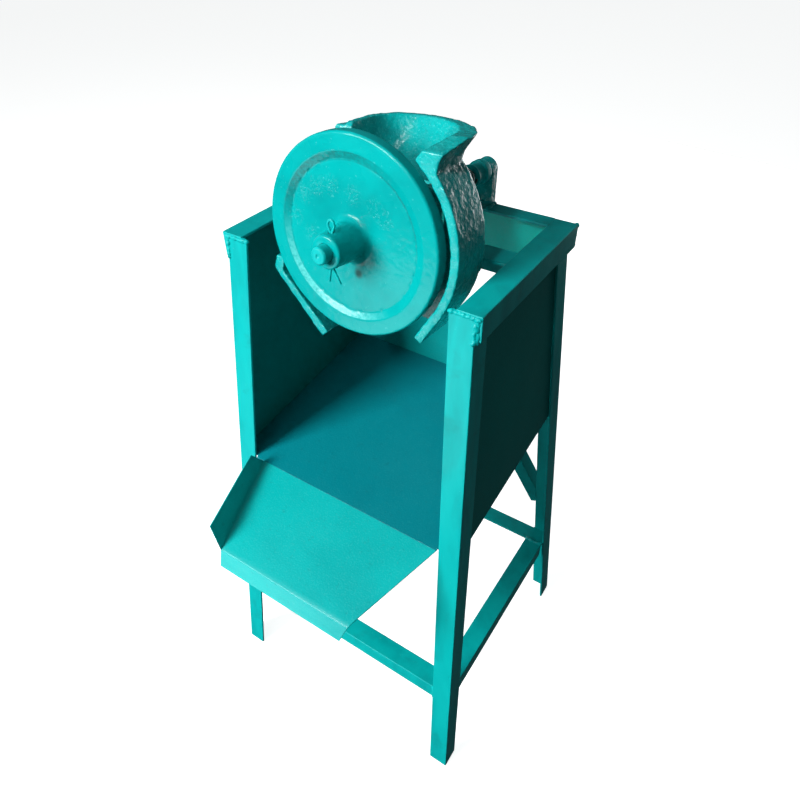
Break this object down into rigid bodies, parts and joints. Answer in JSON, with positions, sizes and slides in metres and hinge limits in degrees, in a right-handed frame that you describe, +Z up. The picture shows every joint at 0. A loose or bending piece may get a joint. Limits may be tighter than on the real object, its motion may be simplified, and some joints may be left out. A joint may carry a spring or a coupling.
{
  "type": "manual corn sheller",
  "caption": "Hand-cranked corn sheller with a toothed disc on a green welded angle-iron stand.",
  "frame": {"origin": "middle of the whole footprint, on the floor under the four feet", "axes": "+Z up, -Y out of the front where the spout is, +X to the right seen from the front"},
  "size_m": [0.358, 0.4602, 0.7824],
  "materials": {
    "green_paint": "glossy",
    "painted_casting": "glossy",
    "steel_parts": "satin",
    "bush_bronze": "satin",
    "grip_wood": "satin"
  },
  "bodies": {
    "stand": {"leg_front_left": "green_paint", "leg_rear_left": "green_paint", "top_rail_left": "green_paint", "low_rail_left": "green_paint", "knee_brace_left": "green_paint", "side_panel_left": "green_paint", "leg_front_right": "green_paint", "leg_rear_right": "green_paint", "top_rail_right": "green_paint", "low_rail_right": "green_paint", "knee_brace_right": "green_paint", "side_panel_right": "green_paint", "top_rail_rear": "green_paint", "low_rail_front": "green_paint", "low_rail_rear": "green_paint", "rear_panel_upper": "green_paint", "rear_panel_lower": "green_paint", "tray_floor": "green_paint", "spout_apron": "green_paint", "head_cross_bar": "green_paint", "housing_casting": "painted_casting", "casing_bolts": "steel_parts", "casing_nuts": "steel_parts", "casing_washers": "steel_parts", "front_bush": "bush_bronze", "middle_bush": "bush_bronze", "rear_bearing": "painted_casting", "rear_bearing_bush": "bush_bronze", "rear_bearing_bolts": "steel_parts", "rear_bearing_nuts": "steel_parts", "thrust_washer": "steel_parts", "rear_thrust_washer": "steel_parts", "guide_rod": "steel_parts", "tension_post": "green_paint", "tension_spring": "steel_parts"},
    "drive": {"toothed_disc": "painted_casting", "drive_shaft": "steel_parts", "split_pin": "steel_parts", "crank_arm": "green_paint", "crank_set_screw": "steel_parts", "grip_pin": "steel_parts"},
    "grip": {"crank_grip": "grip_wood"},
    "plate": {"pressure_plate": "painted_casting"},
    "tension_washer": {"spring_washer": "steel_parts"},
    "tension_nut": {"hand_nut": "green_paint"}
  },
  "joints": [
    {"name": "shaft_spin", "type": "hinge", "parent": "stand", "child": "drive", "pos_m": [0, -0.06855, 0.6908], "axis": [0, 0.9962, -0.0872], "continuous": true},
    {"name": "grip_spin", "type": "hinge", "parent": "drive", "child": "grip", "pos_m": [-0.09642, 0.18353, 0.5534], "axis": [0, 0.9962, -0.0872], "continuous": true},
    {"name": "plate_slide", "type": "slide", "parent": "stand", "child": "plate", "axis": [0, 0.9962, -0.0872], "range_m": [0, 0.012], "stiffness_N_per_m": 2000, "springref_m": -0.01, "deforming": ["tension_spring"]},
    {"name": "washer_slide", "type": "slide", "parent": "stand", "child": "tension_washer", "axis": [0, -0.9962, 0.0872], "range_m": [0, 0.007], "deforming": ["tension_spring"]},
    {"name": "nut_spin", "type": "hinge", "parent": "tension_washer", "child": "tension_nut", "pos_m": [0.041, 0.08756, 0.70826], "axis": [0, -0.9962, 0.0872], "range_deg": [0, 1445]}
  ],
  "couplings": [
    {"joint": "nut_spin", "follows": "washer_slide", "rad_per_m": 3590.4}
  ]
}
